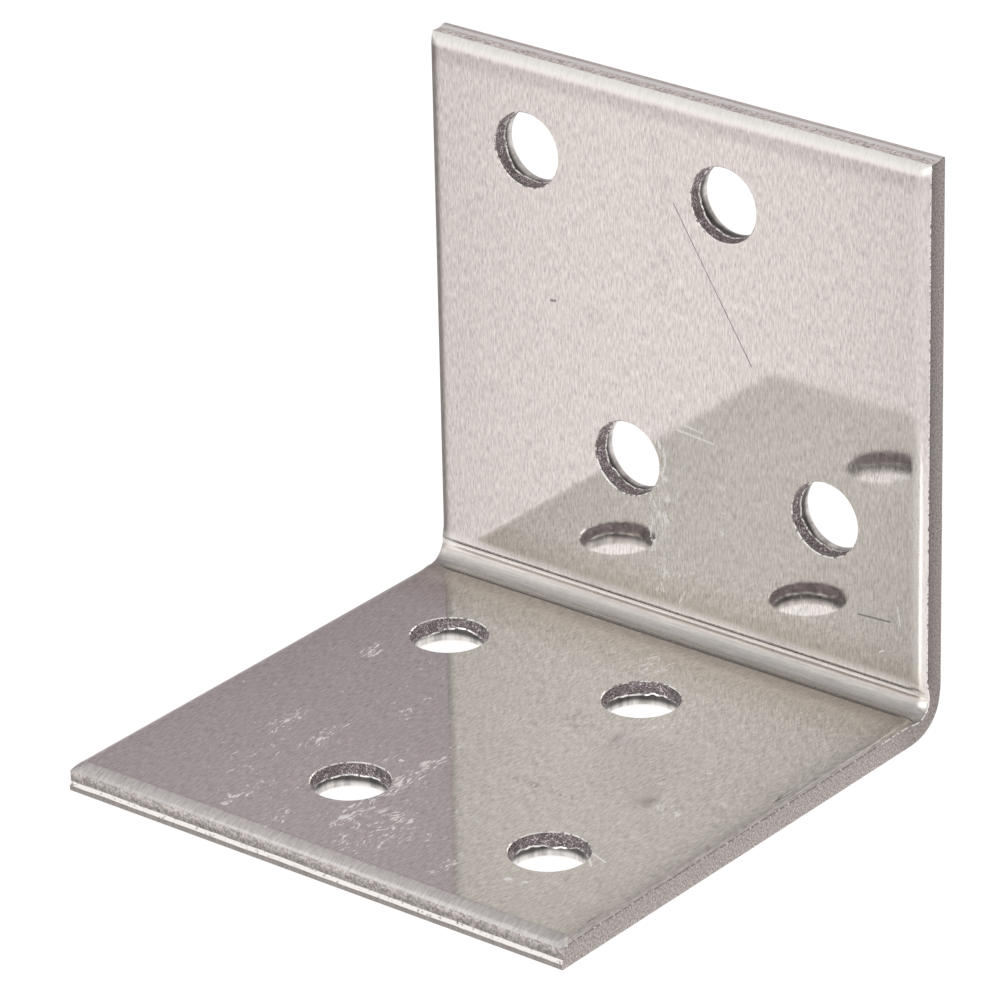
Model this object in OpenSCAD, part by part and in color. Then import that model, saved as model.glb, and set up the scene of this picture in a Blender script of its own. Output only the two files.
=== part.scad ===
// Corner brace bracket: one strip of stainless steel, punched with staggered
// screw holes and folded once to a right angle. Millimetres, +Z up.
// The base leg lies flat, the wall leg rises at its back edge, and the inner
// faces look towards the front (-Y) and up. The origin is the middle of the
// rectangle that the bracket covers, at the height of its underside.

/* [Strip] */
// Thickness of the sheet
sheet_t = 1.8; // [1.5:0.1:2.5]
// Width of the strip, from side to side
strip_w = 40; // [36:1:80]
// Reach of the base leg, from the back of the bracket to its free end
base_d = 40; // [36:1:80]
// Height of the wall leg, from the underside to its free end
wall_h = 40; // [36:1:80]

/* [Fold] */
// Radius of the tool that presses the inside of the fold
nose_r = 1; // [0.8:0.1:2]
// How deep that tool sinks below the inner faces, which leaves the two creases
press_d = 0.03; // [0.01:0.01:0.06]
// Radius of the outside of the fold
fold_out_r = 3.3; // [2.4:0.1:4]
// How far the squeezed metal swells out at each end of the fold
swell_w = 0.2; // [0.05:0.05:0.3]
// Distance from the middle of the fold at which the swelling has died away
swell_reach = 2; // [1.6:0.1:2.4]

/* [Holes] */
// Diameter of the smooth punched bore at the outer face
hole_d = 5; // [4:0.1:6]
// Length of that smooth bore
hole_land_h = 0.8; // [0.3:0.05:1.2]
// Width of the torn step above the smooth bore
hole_tear_w = 0.05; // [0.02:0.01:0.15]
// Diameter of the torn rim at the inner face
hole_rim_d = 5.2; // [5.15:0.05:5.4]
// Spacing of the two holes of a row
hole_pitch = 16; // [12:0.5:20]
// Sideways shift of every second row
row_shift = 8; // [0:0.5:8]
// Spacing of the two rows of a leg
row_pitch = 20; // [12:0.5:22]
// Distance of the outermost row of the base leg from the free end
base_edge = 9; // [6:0.5:12]
// Distance of the outermost row of the wall leg from the free end
wall_edge = 6.6; // [6:0.1:10]

/* [Cut edges] */
// Height of the smooth band that the shear leaves at the outer face of an end
end_land_h = 0.4; // [0.2:0.05:0.7]
// Height of the torn slope above that band
end_tear_h = 0.2; // [0.05:0.05:0.3]
// How far the torn part of an end lies behind the smooth band
end_tear_w = 0.12; // [0.05:0.01:0.2]
// Reach of the rolled inner edge along the leg from an end
end_roll_w = 1; // [0.4:0.1:1.4]
// Depth of the rolled inner edge of an end
end_roll_d = 0.4; // [0.1:0.05:0.6]
// Width of the rolled inner edge along the sides
side_roll_w = 0.8; // [0.4:0.1:1.2]
// Depth of the rolled inner edge along the sides
side_roll_d = 0.25; // [0.1:0.05:0.35]

/* [Hidden] */
$fn = 96;

// What a cutter reaches past the metal
over = 1;

// Faces of the two legs
front_y = -base_d / 2;
back_y = base_d / 2;
wall_inner_y = back_y - sheet_t;

// Axis of the fold: the centre of the pressing tool
nose_gap = nose_r - press_d;
nose_y = wall_inner_y - nose_gap;
nose_z = sheet_t + nose_gap;
press_angle = acos(nose_gap / nose_r);

// Middle of the pressed inside face of the fold, and the ball that shapes the swelling
swell_y = nose_y + nose_r * cos(45);
swell_z = nose_z - nose_r * sin(45);
swell_ball_r = (pow(swell_reach, 2) + pow(swell_w, 2)) / (2 * swell_w);

// Arcs of the rolled ends and sides: level at their start, the full depth down at the edge
end_roll_r = (pow(end_roll_w, 2) + pow(end_roll_d, 2)) / (2 * end_roll_d);
side_roll_r = (pow(side_roll_w, 2) + pow(side_roll_d, 2)) / (2 * side_roll_d);

// The hole pattern sits in the middle of the strip; rows run from end to end
// of the strip and every second one is shifted
pattern_w = hole_pitch + row_shift;
plain_row_x = -pattern_w / 2;
shifted_row_x = plain_row_x + row_shift;
base_row_y = [front_y + base_edge, front_y + base_edge + row_pitch];
wall_row_z = [wall_h - wall_edge - row_pitch, wall_h - wall_edge];
row_x = [shifted_row_x, plain_row_x];

// What the shear takes from a free end. X runs inwards from the end and
// Y from the outer face to the inner face.
module end_cut() {
    polygon([
        [-over, end_land_h],
        [0, end_land_h],
        [end_tear_w, end_land_h + end_tear_h],
        [end_tear_w, sheet_t + over],
        [-over, sheet_t + over]
    ]);
    difference() {
        translate([end_tear_w - over, sheet_t - end_roll_d])
            square([end_roll_w + over, end_roll_d + over]);
        translate([end_tear_w + end_roll_w, sheet_t - end_roll_r])
            circle(r = end_roll_r);
    }
}

// Side view of the folded strip, with Y to the right and Z up
module side_view() {
    difference() {
        union() {
            translate([front_y, 0])
                square([base_d, sheet_t]);
            translate([wall_inner_y, 0])
                square([sheet_t, wall_h]);
            translate([nose_y, sheet_t])
                square([nose_gap, nose_gap]);
        }
        translate([nose_y, nose_z])
            circle(r = nose_r);
        difference() {
            translate([back_y - fold_out_r, -over])
                square([fold_out_r + over, fold_out_r + over]);
            translate([back_y - fold_out_r, fold_out_r])
                circle(r = fold_out_r);
        }
        translate([front_y, 0])
            end_cut();
        translate([back_y, wall_h])
            rotate(-90)
                mirror([0, 1])
                    end_cut();
    }
}

// The metal beyond one side of the strip, apart from the swelling of the fold
module side_trim() {
    difference() {
        translate([strip_w / 2, front_y - over, -over])
            cube([2 * over, base_d + 2 * over, wall_h + 2 * over]);
        translate([strip_w / 2 + swell_w - swell_ball_r, swell_y, swell_z])
            rotate(180)
                sphere(r = swell_ball_r);
    }
}

// Section of what the rolled edge takes from one side. X runs across the
// strip and Y out of the inner face.
module side_roll_section() {
    difference() {
        translate([strip_w / 2 - side_roll_w, -side_roll_r])
            square([side_roll_w + 2 * over, side_roll_r + nose_r / 2]);
        translate([strip_w / 2 - side_roll_w, -side_roll_r])
            circle(r = side_roll_r);
    }
}

// The rolled edge of one side: along the base leg, round the fold and up the wall leg
module side_roll() {
    translate([0, nose_y, sheet_t])
        rotate([90, 0, 0])
            linear_extrude(height = nose_y - front_y + over)
                side_roll_section();
    translate([0, nose_y, nose_z])
        rotate([0, 90, 0])
            rotate([0, 0, -press_angle])
                rotate_extrude(angle = 90 + 2 * press_angle)
                    translate([nose_r, 0])
                        rotate(90)
                            side_roll_section();
    translate([0, wall_inner_y, nose_z])
        mirror([0, 1, 0])
            linear_extrude(height = wall_h - nose_z + over)
                side_roll_section();
}

// A punched hole, from the outer face at Z 0 up to the inner face
module punched_hole() {
    translate([0, 0, -over])
        cylinder(h = over + hole_land_h, d = hole_d);
    translate([0, 0, hole_land_h])
        cylinder(h = sheet_t - hole_land_h, d1 = hole_d + 2 * hole_tear_w, d2 = hole_rim_d);
    translate([0, 0, sheet_t])
        cylinder(h = over, d = hole_rim_d);
}

// Both rows of holes of the base leg
module base_holes() {
    for (row = [0, 1], hole = [0, 1])
        translate([row_x[row] + hole * hole_pitch, base_row_y[row], 0])
            punched_hole();
}

// Both rows of holes of the wall leg
module wall_holes() {
    for (row = [0, 1], hole = [0, 1])
        translate([row_x[row] + hole * hole_pitch, back_y, wall_row_z[row]])
            rotate([90, 0, 0])
                punched_hole();
}

// The whole bracket
module bracket() {
    color([0.74, 0.72, 0.7])
        difference() {
            rotate([90, 0, 90])
                linear_extrude(height = strip_w + 2 * over, center = true)
                    side_view();
            for (side = [0, 1])
                mirror([side, 0, 0]) {
                    side_trim();
                    side_roll();
                }
            base_holes();
            wall_holes();
        }
}

bracket();
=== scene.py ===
"""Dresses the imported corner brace: one punched and folded strip of bright rolled stainless steel."""

import logging
import math
from dataclasses import dataclass, field
from enum import Enum
from typing import Iterable, Sequence, Union

import bmesh
import bpy
from mathutils import Euler, Matrix, Vector, noise

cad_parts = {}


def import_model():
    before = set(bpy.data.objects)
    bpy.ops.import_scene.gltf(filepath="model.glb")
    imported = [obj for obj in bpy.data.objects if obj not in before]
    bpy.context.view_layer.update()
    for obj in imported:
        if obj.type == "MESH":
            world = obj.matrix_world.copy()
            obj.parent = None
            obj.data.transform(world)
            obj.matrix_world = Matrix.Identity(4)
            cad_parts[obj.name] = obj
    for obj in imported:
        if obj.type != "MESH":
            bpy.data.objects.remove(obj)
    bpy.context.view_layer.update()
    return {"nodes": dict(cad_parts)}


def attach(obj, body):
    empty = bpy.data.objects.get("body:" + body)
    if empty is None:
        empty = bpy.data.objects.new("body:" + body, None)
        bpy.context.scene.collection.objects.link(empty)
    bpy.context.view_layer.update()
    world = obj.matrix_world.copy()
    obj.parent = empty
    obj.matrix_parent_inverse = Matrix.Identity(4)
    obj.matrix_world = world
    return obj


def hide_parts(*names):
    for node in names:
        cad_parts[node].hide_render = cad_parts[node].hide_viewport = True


log = logging.getLogger("corner_brace")

MM = 0.001
X_AXIS = Vector((1.0, 0.0, 0.0))
Z_AXIS = Vector((0.0, 0.0, 1.0))
LAMP_TARGET = Vector((0.0, 0.0, 0.015))

Socket = bpy.types.NodeSocket
Feed = Union[Socket, float, Sequence[float]]
Triple = tuple[float, float, float]

# Kinds of the inputs of a shared node group, and the input that most groups have
NUMBER, TRIPLE = "NodeSocketFloat", "NodeSocketVector"
PLACE = ("Place", TRIPLE, 0.0)

# Where the bracket's faces are, in millimetres: the free end of the base leg, the outer face and
# the free end of the wall leg, and the inner faces of both legs
FRONT_Y, BACK_Y, TOP_Z = -20.0, 20.0, 40.0
WALL_FACE, BASE_FACE = 18.2, 1.8

# Slacks in millimetres: for points of one face, for points near a bent one, and for the cut sides
NEAR, ABOUT, FLUSH = 1e-4, 1e-3, 1e-5


class Zone(Enum):
    """The surfaces of the bracket that look different, in the order of its material slots."""

    ROLLED = 0
    PRESSED = 1
    SIDE = 2
    TORN = 3
    BORE = 4
    BURR = 5
    SHORN = 6
    LAND = 7


def clamp(value: float, low: float = 0.0, high: float = 1.0) -> float:
    """Holds a number between two limits."""
    return max(low, min(high, value))


def ripple(seed: float, *place: float) -> float:
    """Smooth noise of about -1 to 1 at a place; the seed picks another pattern."""
    spot = list(place) + [0.0] * (3 - len(place))
    return noise.noise(Vector(spot) + Vector((seed * 17.3, seed * 5.1, seed * 9.7)))


def extruded(
        shape: bmesh.types.BMesh,
        edges: Iterable[bmesh.types.BMEdge]) -> tuple[set[bmesh.types.BMVert], list[bmesh.types.BMEdge]]:
    """Extrudes a chain of edges.

    Args:
        shape: The mesh that the edges belong to.
        edges: The edges.

    Returns:
        The new vertices, and the edges between them.
    """
    made = bmesh.ops.extrude_edge_only(shape, edges=edges)["geom"]
    fresh = {part for part in made if isinstance(part, bmesh.types.BMVert)}
    between = [part for part in made if isinstance(part, bmesh.types.BMEdge) and set(part.verts) <= fresh]
    return fresh, between


@dataclass
class WirePath:
    """A chain of edges that grows from one vertex, as a draughtsman draws an outline."""

    mesh: bmesh.types.BMesh
    tip: bmesh.types.BMVert

    @classmethod
    def start(cls, mesh: bmesh.types.BMesh, point: Sequence[float]) -> "WirePath":
        """Puts the first vertex down."""
        return cls(mesh, bmesh.ops.create_vert(mesh, co=Vector(point))["vert"][0])

    def run_to(self, point: Sequence[float], spacing: float = 0.0) -> None:
        """Draws a straight run from the tip.

        Args:
            point: Where the run ends.
            spacing: Longest piece of the run, or 0 for a single piece.
        """
        span = Vector(point) - self.tip.co
        pieces = max(1, math.ceil(span.length / spacing - 1e-6)) if spacing else 1
        for _ in range(pieces):
            self.tip = bmesh.ops.extrude_vert_indiv(self.mesh, verts=[self.tip])["verts"][0]
            bmesh.ops.translate(self.mesh, verts=[self.tip], vec=span / pieces)

    def turn(self, centre: Sequence[float], axis: Vector, degrees: float, steps: int) -> None:
        """Draws an arc from the tip.

        Args:
            centre: A point on the axis of the arc.
            axis: Direction of that axis.
            degrees: Angle of the arc, positive by the right-hand rule.
            steps: Number of straight pieces.
        """
        made = bmesh.ops.spin(self.mesh, geom=[self.tip], cent=Vector(centre), axis=axis, dvec=Vector(),
                              angle=math.radians(degrees), steps=steps, use_duplicate=False)
        self.tip = next(part for part in made["geom_last"] if isinstance(part, bmesh.types.BMVert))


@dataclass
class FoldedStrip:
    """The sheet metal itself, in millimetres: outline, fold, rolled and torn edges, without its holes."""

    thickness: float = 1.8
    width: float = 40.0
    depth: float = 40.0
    height: float = 40.0
    nose_radius: float = 1.08
    press_depth: float = 0.03
    outer_radius: float = 3.3
    swell: float = 0.2
    swell_reach: float = 2.0
    end_land: float = 0.4
    end_slope: float = 0.26
    end_setback: float = 0.12
    end_wander: Sequence[float] = (0.03, 0.02)
    end_crumbs: float = 0.022
    end_roll_reach: float = 1.0
    end_roll_depth: float = 0.4
    base_roll_slope: float = 11.0
    wall_roll_slope: float = 0.0
    side_roll_width: float = 0.8
    side_roll_depth: float = 0.25
    side_dimples: float = 0.012
    spacing: float = 0.5
    edge_break: float = 0.05
    rings: Sequence[float] = (0.12, 0.16)
    crease: Sequence[tuple[float, float]] = ((-0.34, 0.0), (-0.2, 0.03), (-0.06, -0.1))
    crease_fade: float = 1.1
    ridge_run: float = 0.25
    ridge_width: float = 0.1
    ridge_height: float = 0.035

    @property
    def front(self) -> float:
        """Y of the free end of the base leg."""
        return -self.depth / 2

    @property
    def back(self) -> float:
        """Y of the outer face of the wall leg."""
        return self.depth / 2

    @property
    def nose_centre(self) -> Vector:
        """Axis of the tool that pressed the inside of the fold."""
        gap = self.nose_radius - self.press_depth
        return Vector((0.0, self.back - self.thickness - gap, self.thickness + gap))

    @property
    def press_half_width(self) -> float:
        """Distance from that axis to each crease, along the leg."""
        return math.sqrt(self.nose_radius ** 2 - (self.nose_radius - self.press_depth) ** 2)

    @property
    def press_turn(self) -> float:
        """Angle by which the pressed arc passes a quarter turn at each end."""
        return math.acos((self.nose_radius - self.press_depth) / self.nose_radius)

    def _end_roll(self, slope: float) -> tuple[float, float, float]:
        """Works out the arc that an end's inner edge is rolled to.

        Args:
            slope: Angle in degrees at which the arc leaves the inner face.

        Returns:
            The turn of the arc in degrees, and how far its centre lies behind its start and
            under the inner face.
        """
        chord = math.degrees(math.atan2(self.end_roll_depth, self.end_roll_reach))
        turn = 2.0 * (chord - slope)
        half_turn = math.radians(turn / 2.0)
        radius = math.hypot(self.end_roll_reach, self.end_roll_depth) / (2.0 * math.sin(half_turn))
        return turn, radius * math.sin(math.radians(slope)), radius * math.cos(math.radians(slope))

    def build(self) -> bmesh.types.BMesh:
        """Makes the whole strip.

        Returns:
            A closed mesh in millimetres, its faces marked with their zone.
        """
        sheet = bmesh.new()
        self._draw_section(sheet)
        self._draw_out(sheet)
        self._press_creases(sheet)
        self._roll_sides(sheet)
        self._close_sides(sheet)
        self._mark_zones(sheet)
        self._break_edges(sheet)
        self._tear_ends(sheet)
        self._swell_fold(sheet)
        bmesh.ops.recalc_face_normals(sheet, faces=sheet.faces)
        return sheet

    def _draw_section(self, sheet: bmesh.types.BMesh) -> None:
        """Draws the side view of the strip as a closed wire at its left side.

        Args:
            sheet: The empty mesh.
        """
        left, inner_y, nose = -self.width / 2, self.back - self.thickness, self.nose_centre
        press_turn = math.degrees(self.press_turn)
        roll_low, reach, hem = self.thickness - self.end_roll_depth, self.end_roll_reach, self.edge_break
        torn_y, torn_z = self.front + self.end_setback, self.height - self.end_setback
        line = WirePath.start(sheet, (left, self.front, 0.0))
        first = line.tip
        line.run_to((left, self.front, self.end_land), self.end_land / 2)
        line.run_to((left, torn_y, self.end_land + self.end_slope), 0.12)
        line.run_to((left, torn_y, roll_low), 0.12)
        turn, behind, under = self._end_roll(self.base_roll_slope)
        line.turn((left, torn_y + reach + behind, self.thickness - under), X_AXIS, -turn, 10)
        line.run_to((left, torn_y + reach + hem, self.thickness))
        lower = nose.y - self.press_half_width
        line.run_to((left, lower + self.crease[0][0], self.thickness), self.spacing)
        for run, _ in self.crease[1:]:
            line.run_to((left, lower + run, self.thickness))
        line.run_to((left, lower, self.thickness))
        line.turn((left, nose.y, nose.z), X_AXIS, 90.0 + 2.0 * press_turn, 64)
        upper = nose.z + self.press_half_width
        for run, _ in reversed(self.crease):
            line.run_to((left, inner_y, upper - run))
        line.run_to((left, inner_y, torn_z - reach - hem), self.spacing)
        line.run_to((left, inner_y, torn_z - reach))
        turn, behind, under = self._end_roll(self.wall_roll_slope)
        line.turn((left, inner_y + under, torn_z - reach - behind), X_AXIS, -turn, 10)
        line.run_to((left, self.back - self.end_land - self.end_slope, torn_z), 0.12)
        line.run_to((left, self.back - self.end_land, self.height), 0.12)
        line.run_to((left, self.back, self.height), self.end_land / 2)
        line.run_to((left, self.back, self.outer_radius), 2.0 * self.spacing)
        line.turn((left, self.back - self.outer_radius, self.outer_radius), X_AXIS, -90.0, 24)
        line.run_to((left, self.front, 0.0), 2.0 * self.spacing)
        bmesh.ops.pointmerge(sheet, verts=[line.tip, first], merge_co=first.co)

    def _stations(self) -> list[float]:
        """Places across the strip where it gets a row of points, closer together at its rolled sides.

        Returns:
            The places, from left to right.
        """
        half = self.width / 2
        flat = half - self.side_roll_width
        rolled = [flat + self.side_roll_width * step / 8 for step in range(1, 9)]
        count = math.ceil(2 * flat / self.spacing)
        middle = [-flat + 2 * flat * step / count for step in range(count + 1)]
        return [-place for place in reversed(rolled)] + middle + rolled

    def _draw_out(self, sheet: bmesh.types.BMesh) -> None:
        """Draws the wire out across the width of the strip, one row of faces at a time.

        Args:
            sheet: The mesh with the section's wire.
        """
        stations = self._stations()
        edges = list(sheet.edges)
        for here, there in zip(stations, stations[1:]):
            fresh, edges = extruded(sheet, edges)
            bmesh.ops.translate(sheet, verts=list(fresh), vec=Vector((there - here, 0.0, 0.0)))

    def _inward(self, place: Vector) -> Vector:
        """Says which way the inner face looks.

        Args:
            place: A point on the section.

        Returns:
            The direction out of the inner face, shorter on the rolled ends and zero on the other faces.
        """
        nose, inner_y, depth = self.nose_centre, self.back - self.thickness, self.end_roll_depth
        reach = Vector((0.0, place.y - nose.y, place.z - nose.z))
        near_arc = abs(reach.length - self.nose_radius) < 1.5 * self.ridge_height
        if near_arc and place.y > nose.y - 0.5 and place.z < nose.z + 0.5:
            return -reach.normalized()
        if place.y < nose.y and place.z > self.thickness - depth - NEAR:
            return Vector((0.0, 0.0, clamp((place.z - self.thickness + depth) / depth)))
        if place.z > nose.z and place.y < inner_y + depth + NEAR:
            return Vector((0.0, -clamp((inner_y + depth - place.y) / depth), 0.0))
        return Vector()

    def _press_creases(self, sheet: bmesh.types.BMesh) -> None:
        """Presses a groove with its raised lip along both creases, and the ridge below the upper one.

        Args:
            sheet: The drawn-out strip, open at its sides.
        """
        nose, inner_y = self.nose_centre, self.back - self.thickness
        lower, upper = nose.y - self.press_half_width, nose.z + self.press_half_width
        for vert in sheet.verts:
            place = vert.co
            fade = clamp((self.width / 2 - 0.3 - abs(place.x)) / self.crease_fade)
            wander = 1.0 + 0.25 * ripple(1, place.x * 0.4)
            for run, rise in self.crease:
                if abs(place.z - self.thickness) < NEAR and abs(place.y - lower - run) < ABOUT:
                    place.z += rise * fade * wander * 0.4
                    break
                if abs(place.y - inner_y) < NEAR and abs(place.z - upper + run) < ABOUT:
                    place.y -= rise * fade * wander * 1.2
                    break
            reach = Vector((0.0, place.y - nose.y, place.z - nose.z))
            if abs(reach.length - self.nose_radius) < NEAR and place.y > nose.y:
                down = self.nose_radius * (self.press_turn - math.atan2(reach.z, reach.y))
                rise = self.ridge_height * math.exp(-((down - self.ridge_run) / self.ridge_width) ** 2)
                vert.co = place - reach.normalized() * rise * fade * (1.0 + 0.5 * ripple(1.4, place.x * 0.7))

    def _roll_sides(self, sheet: bmesh.types.BMesh) -> None:
        """Rolls the inner edges down along both sides, as the slitting knives leave them.

        Args:
            sheet: The drawn-out strip, open at its sides.
        """
        reach, drop = self.side_roll_width, self.side_roll_depth
        radius = (reach ** 2 + drop ** 2) / (2 * drop)
        for vert in sheet.verts:
            over = abs(vert.co.x) - (self.width / 2 - reach)
            if over > 0:
                vert.co -= self._inward(vert.co) * (radius - math.sqrt(radius ** 2 - over ** 2))

    def _close_sides(self, sheet: bmesh.types.BMesh) -> None:
        """Closes both sides with faces, and rings them so that they can bulge at the fold.

        Args:
            sheet: The drawn-out strip, open at its sides.
        """
        bmesh.ops.recalc_face_normals(sheet, faces=sheet.faces)
        lowest = min(sheet.faces, key=lambda face: face.calc_center_median().z)
        if lowest.normal.z > 0:
            bmesh.ops.reverse_faces(sheet, faces=sheet.faces)
        sheet.normal_update()
        out = {vert: vert.normal.copy() for vert in sheet.verts}
        for side in (-1.0, 1.0):
            rim = [e for e in sheet.edges if e.is_boundary and all(v.co.x * side > 0 for v in e.verts)]
            for inset in self.rings:
                fresh, rim = extruded(sheet, rim)
                for vert in fresh:
                    others = (edge.other_vert(vert) for edge in vert.link_edges)
                    outer = next(other for other in others if other not in fresh)
                    out[vert] = out[outer]
                    vert.co -= Vector((0.0, out[outer].y, out[outer].z)).normalized() * inset
            bmesh.ops.triangle_fill(sheet, edges=rim, use_beauty=True, use_dissolve=False)

    def _mark_zones(self, sheet: bmesh.types.BMesh) -> None:
        """Gives each face the material slot of its zone.

        Args:
            sheet: The closed strip.
        """
        nose = self.nose_centre
        low, high = nose.y - self.press_half_width - 0.01, nose.z + self.press_half_width + 0.01
        for face in sheet.faces:
            place = face.calc_center_median()
            zone = Zone.ROLLED
            if self._at_side(face.verts):
                zone = Zone.SIDE
            elif self._end_depth(place) < self.end_setback + ABOUT:
                across = place.z if place.y < 0 else self.back - place.y
                if across < self.end_land:
                    zone = Zone.LAND
                elif across < self.end_land + self.end_slope:
                    zone = Zone.BURR
                elif across < self.thickness - self.end_roll_depth + 0.01:
                    zone = Zone.SHORN
            elif low < place.y < self.back - 1.0 and self.thickness - 0.3 < place.z < high:
                zone = Zone.PRESSED
            face.material_index = zone.value

    def _at_side(self, verts: Iterable[bmesh.types.BMVert]) -> bool:
        """Whether all the points lie in a cut side of the strip."""
        return all(abs(abs(vert.co.x) - self.width / 2) < FLUSH for vert in verts)

    def _end_depth(self, place: Vector) -> float:
        """How far a point lies behind the free end of its leg."""
        return min(place.y - self.front, self.height - place.z)

    def _break_edges(self, sheet: bmesh.types.BMesh) -> None:
        """Breaks the long edges of both sides: a bright worn burr inside, a plain small bevel outside.

        Args:
            sheet: The closed strip, its zones marked.
        """
        for inner in (True, False):
            chosen = []
            for edge in sheet.edges:
                on_side = self._at_side(edge.verts)
                zones = {face.material_index for face in edge.link_faces}
                middle = (edge.verts[0].co + edge.verts[1].co) / 2
                corner = (middle.y - self.front < NEAR and middle.z < NEAR
                          or self.back - middle.y < NEAR and self.height - middle.z < NEAR)
                if on_side and Zone.SIDE.value in zones and len(zones) > 1:
                    near = middle.y < self.back - 1.0 and middle.z > 1.0 and self._end_depth(middle) > 0.3
                    if near == inner:
                        chosen.append(edge)
                elif corner and not inner and not on_side:
                    chosen.append(edge)
            bmesh.ops.bevel(sheet, geom=chosen, offset=self.edge_break, offset_type="OFFSET", segments=1,
                            profile=0.5, affect="EDGES", clamp_overlap=False,
                            material=Zone.BURR.value if inner else -1)

    def _tear_ends(self, sheet: bmesh.types.BMesh) -> None:
        """Roughens the torn part of both ends and lets its lower line wander.

        Args:
            sheet: The closed strip, its edges broken.
        """
        for vert in sheet.verts:
            place = vert.co
            depth = self._end_depth(place)
            if depth > self.end_setback + ABOUT or abs(place.x) > self.width / 2 - 0.05:
                continue
            base_end = place.y < 0
            across = place.z if base_end else self.back - place.y
            if across < self.end_land * 0.8:
                continue
            seed = 2.0 if base_end else 3.0
            slow, quick = ripple(seed, place.x * 0.5), ripple(seed + 1, place.x * 2.6, across * 3.0)
            shift = self.end_wander[0] * slow + self.end_wander[1] * quick
            torn = across > self.end_land + 0.01 and across < self.thickness - self.end_roll_depth + 0.01
            inwards = self.end_crumbs * ripple(seed + 2, place.x * 3.1, across * 4.0) if torn else 0.0
            lift = shift * clamp((self.thickness - self.end_roll_depth - across) / 0.6)
            if base_end:
                place.z += lift
                place.y += abs(inwards)
            else:
                place.y -= lift
                place.z -= abs(inwards)

    def _swell_fold(self, sheet: bmesh.types.BMesh) -> None:
        """Lets the squeezed metal swell out at both ends of the fold, and dimples the cut sides.

        Args:
            sheet: The closed strip, its edges broken.
        """
        nose, reach, swell = self.nose_centre, self.swell_reach, self.swell
        step = self.nose_radius * math.sqrt(0.5)
        heart = Vector((0.0, nose.y + step, nose.z - step))
        ball = (reach ** 2 + swell ** 2) / (2 * swell)
        for vert in sheet.verts:
            place = vert.co
            side = math.copysign(1.0, place.x)
            away = math.hypot(place.y - heart.y, place.z - heart.z)
            hold = clamp((abs(place.x) - self.width / 2 + 0.9) / 0.9)
            if away < reach:
                place.x += side * hold * (math.sqrt(ball ** 2 - away ** 2) - ball + swell)
            if hold > 0.99 and self._inward(place).length < 0.5:
                place.x -= side * self.side_dimples * abs(ripple(5, place.y * 1.7, place.z * 1.7))


@dataclass
class PunchedHole:
    """The tool shape of one punched hole, in millimetres, standing on the outer face at height 0."""

    bore: float = 5.0
    rim: float = 5.2
    tear_height: float = 0.84
    tear_wander: float = 0.16
    tear_step: float = 0.06
    tear_ledge: float = 0.09
    tear_crumbs: float = 0.035
    rim_crumbs: float = 0.012
    entry_height: float = 0.36
    entry_width: float = 0.16
    lip: float = 0.07
    over: float = 0.8
    segments: int = 128

    def build(self, thickness: float, seed: float) -> bmesh.types.BMesh:
        """Makes the cutter.

        Args:
            thickness: Thickness of the sheet.
            seed: Picks the pattern of the tear, another one for each hole.

        Returns:
            A closed mesh with the zones of the hole's wall on its faces.
        """
        tool = bmesh.new()
        radius, rim = self.bore / 2, self.rim / 2
        line = WirePath.start(tool, (0.0, 0.0, -self.over))
        line.run_to((radius + self.entry_width, 0.0, -self.over))
        line.run_to((radius + self.entry_width, 0.0, 0.0))
        for step in range(1, 7):
            turn = math.radians(90.0 * step / 6)
            line.run_to((radius + self.entry_width * (1 - math.sin(turn)), 0.0,
                         self.entry_height * (1 - math.cos(turn))))
        line.run_to((radius, 0.0, self.tear_height), 0.15)
        line.run_to((radius + self.tear_step, 0.0, self.tear_height + self.tear_ledge))
        line.run_to((rim, 0.0, thickness - self.lip), 0.07)
        line.run_to((rim + self.lip, 0.0, thickness))
        line.run_to((rim + self.lip, 0.0, thickness + self.over))
        line.run_to((0.0, 0.0, thickness + self.over))
        bmesh.ops.spin(tool, geom=list(tool.edges), cent=Vector(), axis=Z_AXIS, dvec=Vector(),
                       angle=math.tau, steps=self.segments, use_merge=True, use_duplicate=False)
        bmesh.ops.remove_doubles(tool, verts=tool.verts, dist=FLUSH)
        for face in tool.faces:
            place = face.calc_center_median()
            face.material_index = self._zone(place.z, thickness).value
        self._tear(tool, thickness, seed)
        bmesh.ops.recalc_face_normals(tool, faces=tool.faces)
        return tool

    def _zone(self, height: float, thickness: float) -> Zone:
        """Names the zone of the hole's wall at a height.

        Args:
            height: Height above the outer face.
            thickness: Thickness of the sheet.

        Returns:
            The zone.
        """
        if height < self.tear_height:
            return Zone.BORE
        if height < self.tear_height + self.tear_ledge or height > thickness - self.lip:
            return Zone.BURR
        return Zone.TORN

    def _tear(self, tool: bmesh.types.BMesh, thickness: float, seed: float) -> None:
        """Lets the tear line wander and roughens the torn wall above it.

        Args:
            tool: The cutter.
            thickness: Thickness of the sheet.
            seed: Picks the pattern of the tear.
        """
        top, rise = thickness - self.lip, self.tear_height - self.entry_height
        for vert in tool.verts:
            place = vert.co
            if place.z <= self.entry_height + 0.01 or place.z > thickness + NEAR:
                continue
            turn = math.atan2(place.y, place.x)
            ring = (math.cos(turn), math.sin(turn))
            slow = ripple(seed, ring[0] * 1.4, ring[1] * 1.4)
            quick = ripple(seed + 0.3, ring[0] * 5.5, ring[1] * 5.5)
            shift = self.tear_wander * (1.5 * slow + 0.7 * quick)
            if place.z <= self.tear_height + self.tear_ledge + 0.01:
                place.z += shift * clamp((place.z - self.entry_height) / rise)
                continue
            above = clamp((top - place.z) / (top - self.tear_height))
            rough = ripple(seed + 0.7, ring[0] * 9, ring[1] * 9, place.z * 4.0) * self.tear_crumbs
            rough *= clamp(above * 4)
            if place.z > top - ABOUT:
                rough = self.rim_crumbs * quick
            place.z += shift * above
            place.x += ring[0] * rough
            place.y += ring[1] * rough


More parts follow.
